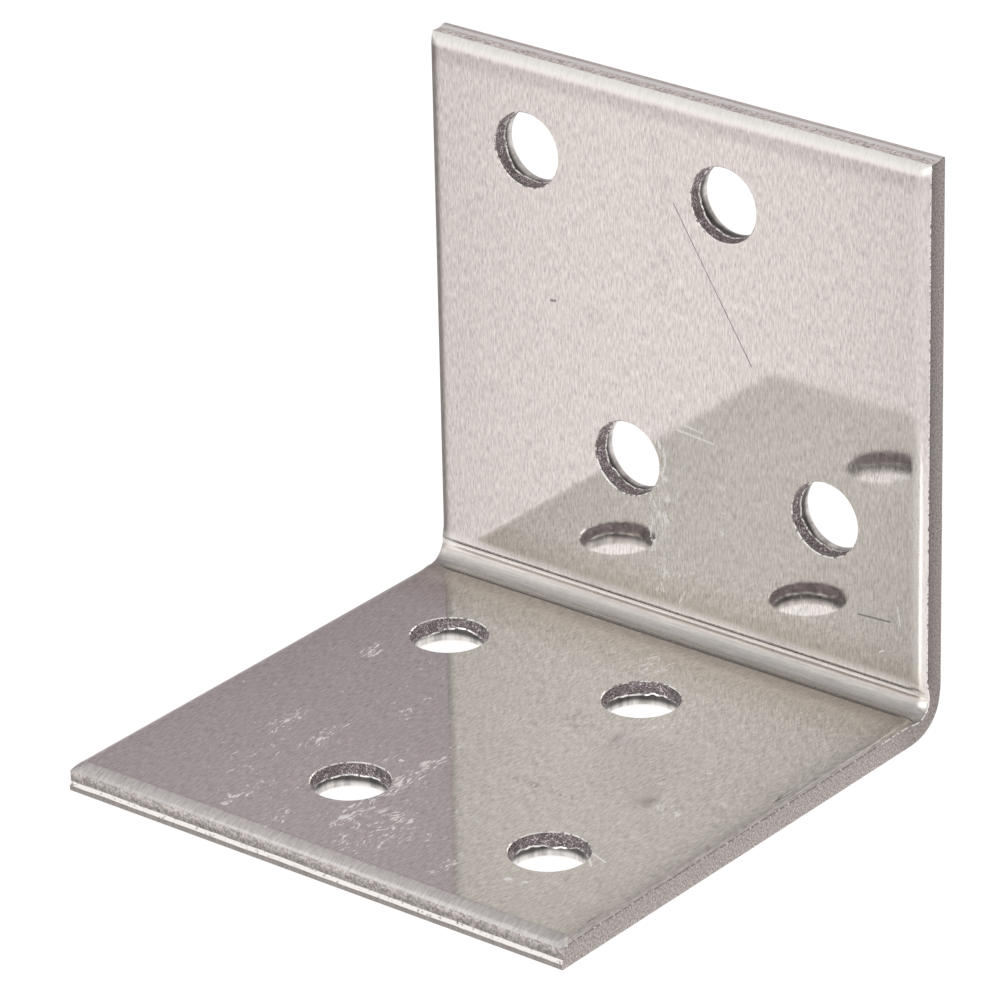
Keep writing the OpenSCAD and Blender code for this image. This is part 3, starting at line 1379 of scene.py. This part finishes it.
@dataclass(frozen=True)
class PressedFinish(Finish):
    """The pressed inside of the fold, with painted light and shade across its curve: a painted highlight
    below its upper crease, painted shade towards the lower one, and drag lines along it.
    """

    name: str = "pressed_fold_steel"
    colour: Triple = (0.8, 0.76, 0.73)
    roughness: float = 0.16
    dulling: float = 0.2
    relief: float = 1.0
    drag_stretch: Triple = (0.5, 9.0, 9.0)
    mottle_stretch: Triple = (2.0, 3.0, 3.0)
    drag_height: float = 5.0
    mottle_height: float = 6.0
    highlight_metal: float = 0.35
    half_run: float = 1.3
    brightest: float = 1.25
    # Painted light and shade across the fold's curve: the shade at each share of the way from the lower
    # crease to the upper one
    shades: tuple[tuple[float, float], ...] = (
        (0.0, 0.38), (0.12, 0.5), (0.25, 0.56), (0.4, 0.61), (0.56, 0.67),
        (0.65, 0.78), (0.74, 0.74), (0.8, 0.95), (0.87, 1.0), (0.92, 1.25))

    def dress(self, desk: Sheet) -> None:
        """Feeds the shader.

        Args:
            desk: The material's desk.
        """
        drag, broad, _ = desk.grain(self.drag_stretch)
        mottle = desk.noise(desk.stretched(desk.spot.place, self.mottle_stretch), 3.0, 0.6)
        wander = desk.math("MULTIPLY_ADD", broad, 0.12, -0.06)
        share = desk.math("MULTIPLY_ADD", desk.spot.along(), 0.5 / self.half_run, 0.5)
        press = desk.add("ShaderNodeValToRGB", {"Fac": desk.total(share, wander)})
        fill_ramp(press.color_ramp, ((stop, (shade / self.brightest,) * 3) for stop, shade in self.shades))
        # painted light and shade, also brighter towards the left end of the fold
        level = desk.times(press.outputs["Color"], self.brightest,
                           desk.ramp(desk.spot.x, -20.0, 8.0, 1.2, 1.03))
        shade = desk.total(0.58, desk.times(drag, 0.6), desk.times(mottle, 0.24))
        height = desk.total(desk.times(drag, self.drag_height), desk.times(mottle, self.mottle_height))
        desk.surface(desk.shaded(desk.times(shade, level)), mottle, height)
        # less metallic under the painted highlight below the upper crease
        desk.feed(desk.shader.inputs["Metallic"], desk.ramp(share, 0.89, 0.94, 1.0, self.highlight_metal))


@dataclass(frozen=True)
class BrokenFinish(Finish):
    """A finish of broken metal, made of crumbs, patches and specks."""

    grain: float
    base_shade: float
    crumbs: float
    blotches: float
    specks: float
    crumb_range: tuple[float, float] = (0.34, 0.66)

    def dress(self, desk: Sheet) -> None:
        """Feeds the shader.

        Args:
            desk: The material's desk.
        """
        height, shade, specks = desk.torn(self.grain)
        crumbs = desk.ramp(height, *self.crumb_range)
        broken = desk.total(self.base_shade, desk.times(crumbs, self.crumbs),
                            desk.times(shade, self.blotches), desk.times(specks, self.specks))
        tone = desk.shaded(desk.times(broken, self.level(desk)))
        desk.surface(self.covered(desk, tone, shade), shade, height)

    def level(self, desk: Sheet) -> Feed:
        """How bright the finish is at each place."""
        return 1.0

    def covered(self, desk: Sheet, tone: Feed, shade: Feed) -> Feed:
        """The tone, with what lies over it where the shade says so."""
        return tone


@dataclass(frozen=True)
class SideFinish(BrokenFinish):
    """The slit sides of the strip: dull, grey and grainy."""

    name: str = "slit_side_steel"
    colour: Triple = (0.405, 0.375, 0.362)
    roughness: float = 0.4
    dulling: float = 0.2
    relief: float = 30.0
    grain: float = 7.0
    base_shade: float = 0.42
    crumbs: float = 0.75
    blotches: float = 0.4
    specks: float = 0.5

    def level(self, desk: Sheet) -> Feed:
        """Makes the side dimmer towards the fold and on the wall leg.

        Args:
            desk: The material's desk.

        Returns:
            The factor for the finish's colour.
        """
        spot = desk.spot
        on_base = desk.ramp(spot.y, 13.5, 17.5, 1.08, 0.82)
        on_wall = desk.times(desk.ramp(spot.y, 18.4, 19.9, 0.62, 0.92),
                             desk.ramp(spot.y, 18.52, 18.66, 0.72, 1.0))
        return desk.mix(desk.ramp(spot.z, 2.4, 4.4), on_base, on_wall)


@dataclass(frozen=True)
class TornFinish(BrokenFinish):
    """The torn wall of the holes, dull with a brown and violet tinge; those of the wall leg show glossy rays
    a painted pale reflection.
    """

    name: str = "torn_steel"
    colour: Triple = (0.30, 0.262, 0.275)
    roughness: float = 0.38
    dulling: float = 0.25
    relief: float = 40.0
    grain: float = 7.0
    base_shade: float = 0.3
    crumbs: float = 1.0
    blotches: float = 0.0
    specks: float = 2.2
    crumb_range: tuple[float, float] = (0.38, 0.62)
    grime: Triple = (0.17, 0.148, 0.145)
    # Pale colour that glossy rays see on the wall leg's hole walls: a painted reflection
    mirrored: Triple = (1.0, 0.97, 0.95)

    def covered(self, desk: Sheet, tone: Feed, shade: Feed) -> Feed:
        """Lays grime over the tone, and paints it pale for glossy rays in the wall leg: a painted reflection.

        Args:
            desk: The material's desk.
            tone: Colour of the broken metal.
            shade: Its patchy shade.

        Returns:
            The covered tone.
        """
        tone = desk.blend(desk.ramp(shade, 0.4, 0.62, 0.0, 0.7), tone, rgba(self.grime))
        # painted reflection: pale for glossy rays in the wall leg
        mirrored = desk.times(desk.light_path("Is Glossy Ray"), desk.spot.in_wall())
        return desk.blend(mirrored, tone, rgba(self.mirrored))


@dataclass(frozen=True)
class ShornFinish(BrokenFinish):
    """The torn band of both free ends, grey and grainy, with painted light on top of the wall leg."""

    name: str = "shorn_end_steel"
    colour: Triple = (0.52, 0.49, 0.475)
    roughness: float = 0.36
    dulling: float = 0.25
    relief: float = 30.0
    grain: float = 5.0
    base_shade: float = 0.35
    crumbs: float = 0.7
    blotches: float = 0.6
    specks: float = 0.4
    # Painted light on top of the wall leg
    top_painted_light: float = 1.45

    def level(self, desk: Sheet) -> Feed:
        """How bright the band is: darker at its foot, with painted light on top of the wall leg."""
        height = desk.spot.z
        return desk.mix(desk.ramp(height, 10.0, 30.0), desk.ramp(height, 0.8, 1.35, 0.62, 1.0), self.top_painted_light)


@dataclass(frozen=True)
class LandFinish(Finish):
    """The smooth band that the shear leaves along the outer face of both ends, with upright drag lines."""

    name: str = "shear_land_steel"
    colour: Triple = (0.31, 0.29, 0.28)
    roughness: float = 0.22
    dulling: float = 0.2
    relief: float = 10.0
    drag_stretch: Triple = (6.0, 0.8, 0.8)
    top_painted_light: float = 2.3

    def dress(self, desk: Sheet) -> None:
        """Feeds the shader.

        Args:
            desk: The material's desk.
        """
        drag, broad, _ = desk.grain(self.drag_stretch)
        shade = desk.total(0.35, drag, desk.times(broad, 0.3))
        # painted light: the land is brighter on top of the wall leg
        level = desk.ramp(desk.spot.z, 10.0, 30.0, 1.0, self.top_painted_light)
        desk.surface(desk.shaded(desk.times(shade, level)), drag, drag)


@dataclass(frozen=True)
class BoreFinish(Finish):
    """The burnished part of the holes, with light and dark drag lines, painted shade deeper in the hole and a
    painted highlight on its rounded mouth.
    """

    name: str = "burnished_steel"
    colour: Triple = (0.72, 0.7, 0.68)
    roughness: float = 0.12
    dulling: float = 0.12
    relief: float = 22.0
    # Colour of the painted highlight on the rounded mouth
    mouth: Triple = (0.95, 0.93, 0.91)
    mouth_highlight_depth: float = 0.24
    base_drag: Triple = (1.3, 1.3, 0.2)
    wall_drag: Triple = (1.3, 0.2, 1.3)

    def dress(self, desk: Sheet) -> None:
        """Feeds the shader.

        Args:
            desk: The material's desk.
        """
        depth, in_wall = desk.spot.depth(), desk.spot.in_wall()
        base, wall = desk.grain(self.base_drag), desk.grain(self.wall_drag)
        drag, broad = (desk.mix(in_wall, *both) for both in zip(base[:2], wall[:2]))
        # painted shade: darker deeper into the hole, away from the outer face
        painted_depth_shade = desk.math("MULTIPLY_ADD", desk.minus(broad, 0.5), -1.2, depth)
        shade = desk.times(desk.ramp(drag, 0.36, 0.62, 0.62, 1.05), desk.ramp(painted_depth_shade, 0.3, 0.72, 1.0, 0.14))
        tone = desk.blend(desk.ramp(depth, self.mouth_highlight_depth, 0.06), desk.shaded(shade), rgba(self.mouth))
        desk.surface(tone, drag, drag)


@dataclass(frozen=True)
class BurrFinish(Finish):
    """The thin bright line of burr on edges and rims, bare in some places and dull in others."""

    name: str = "bright_burr_steel"
    colour: Triple = (0.97, 0.95, 0.93)
    roughness: float = 0.5
    dulling: float = -0.2
    relief: float = 8.0
    dull: Triple = (0.3, 0.275, 0.27)
    grain: float = 3.2
    bare_cover: tuple[float, float] = (0.4, 0.52)

    def dress(self, desk: Sheet) -> None:
        """Feeds the shader.

        Args:
            desk: The material's desk.
        """
        spot = desk.spot
        height, _, _ = desk.torn(self.grain)
        beside = desk.times(desk.ramp(desk.size(spot.x), 19.6, 19.8),
                            desk.ramp(spot.y, 15.0, 12.0, 0.0, -0.11))
        cover = desk.total(height, desk.ramp(spot.from_end(), 0.5, 0.2, 0.0, 0.08), beside,
                           desk.ramp(spot.z, 39.5, 39.8, 0.0, 0.2))
        bare = desk.ramp(cover, *self.bare_cover)
        tone = desk.blend(bare, rgba(self.dull), rgba(self.colour))
        desk.surface(tone, bare, height)


@dataclass
class Bracket:
    """The dressed bracket: strip, holes and finishes."""

    strip: FoldedStrip = field(default_factory=FoldedStrip)
    holes: HolePattern = field(default_factory=HolePattern)
    name: str = "steel_bracket"
    crisp_edge: float = 32.0
    merge_distance: float = 1e-7

    def build(self) -> bpy.types.Object:
        """Makes the bracket's object and punches its holes.

        Returns:
            The object, its mesh in metres in the row frame.
        """
        sheet = self._object(self.name, self.strip.build())
        tools = self._object("hole_tools", self.holes.build(self.strip))
        punch = sheet.modifiers.new("punch", "BOOLEAN")
        punch.operation, punch.solver, punch.object = "DIFFERENCE", "EXACT", tools
        punch.material_mode = "INDEX"
        punched = bpy.data.meshes.new_from_object(sheet.evaluated_get(bpy.context.evaluated_depsgraph_get()))
        sheet.modifiers.clear()
        old, sheet.data = sheet.data, punched
        bpy.data.meshes.remove(old)
        bpy.data.meshes.remove(tools.data)
        self._tidy(punched)
        punched.name = self.name
        return sheet

    @staticmethod
    def _object(name: str, shape: bmesh.types.BMesh) -> bpy.types.Object:
        """Turns a mesh in millimetres into an object in metres.

        Args:
            name: Name of the object and its mesh.
            shape: The mesh, which is freed.

        Returns:
            The object, with an empty material slot for each zone.
        """
        bmesh.ops.scale(shape, vec=Vector((MM, MM, MM)), verts=shape.verts)
        mesh = bpy.data.meshes.new(name)
        shape.to_mesh(mesh)
        shape.free()
        made = bpy.data.objects.new(name, mesh)
        bpy.context.scene.collection.objects.link(made)
        for _ in Zone:
            mesh.materials.append(None)
        return made

    def _tidy(self, mesh: bpy.types.Mesh) -> None:
        """Merges doubles, turns all faces outwards and shades the mesh smooth between crisp edges.

        Args:
            mesh: The punched mesh, in metres.
        """
        shape = bmesh.new()
        shape.from_mesh(mesh)
        bmesh.ops.remove_doubles(shape, verts=shape.verts, dist=self.merge_distance)
        bmesh.ops.recalc_face_normals(shape, faces=shape.faces)
        crisp, mouth = math.radians(self.crisp_edge), {Zone.ROLLED.value, Zone.BORE.value}
        for face in shape.faces:
            face.smooth = True
        for edge in shape.edges:
            zones = {face.material_index for face in edge.link_faces}
            edge.smooth = zones != mouth and edge.calc_face_angle(0.0) < crisp
        shape.to_mesh(mesh)
        shape.free()

    def dress(self, piece: bpy.types.Object, effects: Effects) -> None:
        """Puts the finishes in the material slots of their zones.

        Args:
            piece: The bracket's object.
            effects: The shared node groups.
        """
        centres = []
        for in_wall, place in self.holes.centres(self.strip):
            through = Vector((0.0, -BASE_FACE, 0.0)) if in_wall else Vector((0.0, 0.0, BASE_FACE))
            centres.append(tuple(place + through))
        finishes = {Zone.ROLLED: RolledFinish(centres=tuple(centres)), Zone.PRESSED: PressedFinish(),
                    Zone.SIDE: SideFinish(), Zone.TORN: TornFinish(), Zone.BORE: BoreFinish(),
                    Zone.BURR: BurrFinish(), Zone.SHORN: ShornFinish(), Zone.LAND: LandFinish()}
        for zone, finish in finishes.items():
            piece.data.materials[zone.value] = finish.build(effects)


@dataclass
class Studio:
    """The pale floor, with painted light and a painted shadow that only glossy rays see, the soft light and
    the camera.
    """

    floor_size: float = 3.0
    floor_drop: float = 0.00002
    floor_shown: float = 0.94
    floor_matt: float = 0.16
    floor_mirrored: Triple = (0.80, 0.752, 0.745)
    # Painted light under the bracket and a painted shadow to its left, both seen only by glossy rays
    floor_painted_light: Triple = (1.0, 0.97, 0.96)
    floor_painted_shadow: Triple = (0.34, 0.31, 0.3)
    room_front: tuple[tuple[float, Triple], ...] = (
        (0.48, (1.0, 0.96, 0.95)), (0.57, (0.98, 0.95, 0.93)), (0.711, (0.86, 0.86, 0.835)),
        (0.854, (0.8, 0.79, 0.78)), (1.0, (0.5, 0.49, 0.5)))
    room_rear: tuple[tuple[float, Triple], ...] = (
        (0.48, (0.55, 0.5, 0.52)), (0.6, (0.45, 0.4, 0.43)), (0.711, (0.43, 0.38, 0.402)),
        (0.85, (0.52, 0.49, 0.5)), (1.0, (0.5, 0.49, 0.5)))
    room_rear_right: Triple = (0.66, 0.62, 0.61)
    lens: float = 244.757
    camera_place: Triple = (0.24365, -0.30272, 0.20164)
    camera_turn: Triple = (64.763, 1.148, 38.318)
    lamps: tuple[tuple[str, Triple, float, float], ...] = (
        ("front_lamp", (0.08, -0.8, 0.36), 0.5, 1.2),
        ("top_lamp", (-0.1, -0.1, 1.0), 0.9, 0.5),
        ("right_lamp", (0.9, 0.1, 0.45), 0.6, 0.4),
    )

    def build(self) -> bpy.types.Object:
        """Makes the studio.

        Returns:
            Its floor.
        """
        floor = self._floor()
        self._world()
        for name, place, size, watts in self.lamps:
            self._lamp(name, place, size, watts)
        self._camera()
        bpy.context.scene.view_settings.view_transform = "Standard"
        return floor

    def _floor(self) -> bpy.types.Object:
        """Makes a floor that shows white and keeps a faint shadow; glossy rays see painted light under the
        bracket and a painted shadow to its left, towards the back.

        Returns:
            The floor.
        """
        shape = bmesh.new()
        bmesh.ops.create_grid(shape, x_segments=1, y_segments=1, size=self.floor_size)
        mesh = bpy.data.meshes.new("floor")
        shape.to_mesh(mesh)
        shape.free()
        floor = bpy.data.objects.new("floor", mesh)
        bpy.context.scene.collection.objects.link(floor)
        floor.location.z = -self.floor_drop
        material = bpy.data.materials.new("pale_floor")
        material.use_nodes = True
        tree = material.node_tree
        tree.nodes.clear()
        desk = NodeDesk(tree)
        spot = Spot(desk)
        # painted light under the bracket and painted shadow to its left, for glossy rays only
        outside = desk.ramp(desk.highest(desk.size(spot.x), desk.size(spot.y)), 19.0, 23.0)
        bearing = desk.math("ARCTAN2", desk.minus(spot.y, 18.0), desk.minus(-20.0, spot.x))
        behind = desk.times(desk.ramp(bearing, -0.88, -0.2), desk.ramp(spot.x, -18.0, -22.0))
        mirrored = desk.blend(behind, rgba(self.floor_mirrored), rgba(self.floor_painted_shadow))
        mirrored = desk.blend(outside, rgba(self.floor_painted_light), mirrored)
        mirrored = desk.blend(desk.light_path("Is Glossy Ray"), rgba((0.0, 0.0, 0.0)), mirrored)
        shown = desk.blend(desk.light_path("Is Camera Ray"), mirrored, rgba((self.floor_shown,) * 3))
        glow = desk.add("ShaderNodeEmission", {"Color": shown, "Strength": 1.0})
        matt = desk.add("ShaderNodeBsdfDiffuse", {"Color": rgba((self.floor_matt,) * 3)})
        both = desk.add("ShaderNodeAddShader")
        desk.feed(both.inputs[0], glow.outputs[0])
        desk.feed(both.inputs[1], matt.outputs[0])
        out = desk.add("ShaderNodeOutputMaterial")
        desk.feed(out.inputs["Surface"], both.outputs[0])
        mesh.materials.append(material)
        return floor

    def _world(self) -> None:
        """A soft room: bright low down in front, dimmer behind; the camera sees plain white."""
        world = bpy.data.worlds.new("studio")
        bpy.context.scene.world = world
        world.use_nodes = True
        tree = world.node_tree
        tree.nodes.clear()
        desk = NodeDesk(tree)
        way = desk.vector("NORMALIZE", desk.add("ShaderNodeTexCoord").outputs["Generated"])
        east, north, up = desk.split(way)
        height = desk.math("MULTIPLY_ADD", up, 0.5, 0.5)
        front, rear = (desk.add("ShaderNodeValToRGB", {"Fac": height}) for _ in range(2))
        fill_ramp(front.color_ramp, self.room_front)
        fill_ramp(rear.color_ramp, self.room_rear)
        bearing = desk.math("ARCTAN2", north, desk.times(east, -1.0))
        back = desk.blend(desk.ramp(bearing, 0.893, 0.913), rear.outputs["Color"], rgba(self.room_rear_right))
        room = desk.blend(desk.ramp(north, 0.45, -0.35), back, front.outputs["Color"])
        shown = desk.blend(desk.light_path("Is Camera Ray"), room, rgba((1.0, 1.0, 1.0)))
        glow = desk.add("ShaderNodeBackground", {"Color": shown, "Strength": 1.0})
        out = desk.add("ShaderNodeOutputWorld")
        desk.feed(out.inputs["Surface"], glow.outputs[0])

    @staticmethod
    def _lamp(name: str, place: Sequence[float], size: float, watts: float) -> None:
        """Adds one soft square lamp that looks at the bracket.

        Args:
            name: Name of the lamp.
            place: Where it hangs, in metres.
            size: Side of its square, in metres.
            watts: Its power.
        """
        data = bpy.data.lights.new(name, "AREA")
        data.shape, data.size, data.energy = "SQUARE", size, watts
        lamp = bpy.data.objects.new(name, data)
        lamp.location = place
        aim = LAMP_TARGET - Vector(place)
        lamp.rotation_euler = aim.to_track_quat("-Z", "Y").to_euler()
        bpy.context.scene.collection.objects.link(lamp)

    def _camera(self) -> None:
        """Adds the camera at the viewing angle of the photograph."""
        data = bpy.data.cameras.new("camera")
        data.sensor_width, data.lens = 36.0, self.lens
        data.clip_start, data.clip_end = 0.01, 20.0
        camera = bpy.data.objects.new("camera", data)
        camera.location = self.camera_place
        camera.rotation_euler = Euler([math.radians(angle) for angle in self.camera_turn], "XYZ")
        bpy.context.scene.collection.objects.link(camera)
        bpy.context.scene.camera = camera


def main() -> None:
    """Loads the frame, builds and dresses the bracket, and sets up the studio."""
    logging.basicConfig(level=logging.INFO, format="%(name)s: %(message)s")
    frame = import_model()
    bracket = Bracket()
    piece = bracket.build()
    bracket.dress(piece, Effects())
    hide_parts("bracket")
    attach(piece, "root")
    triangles = sum(len(face.vertices) - 2 for face in piece.data.polygons)
    log.info("%s for %d node: %d triangles, %d finishes", piece.name, len(frame["nodes"]), triangles,
             len(piece.data.materials))
    studio = Studio()
    floor = studio.build()
    log.info("%s, %d lamps and the camera", floor.name, len(studio.lamps))


if __name__ == "__main__":
    main()
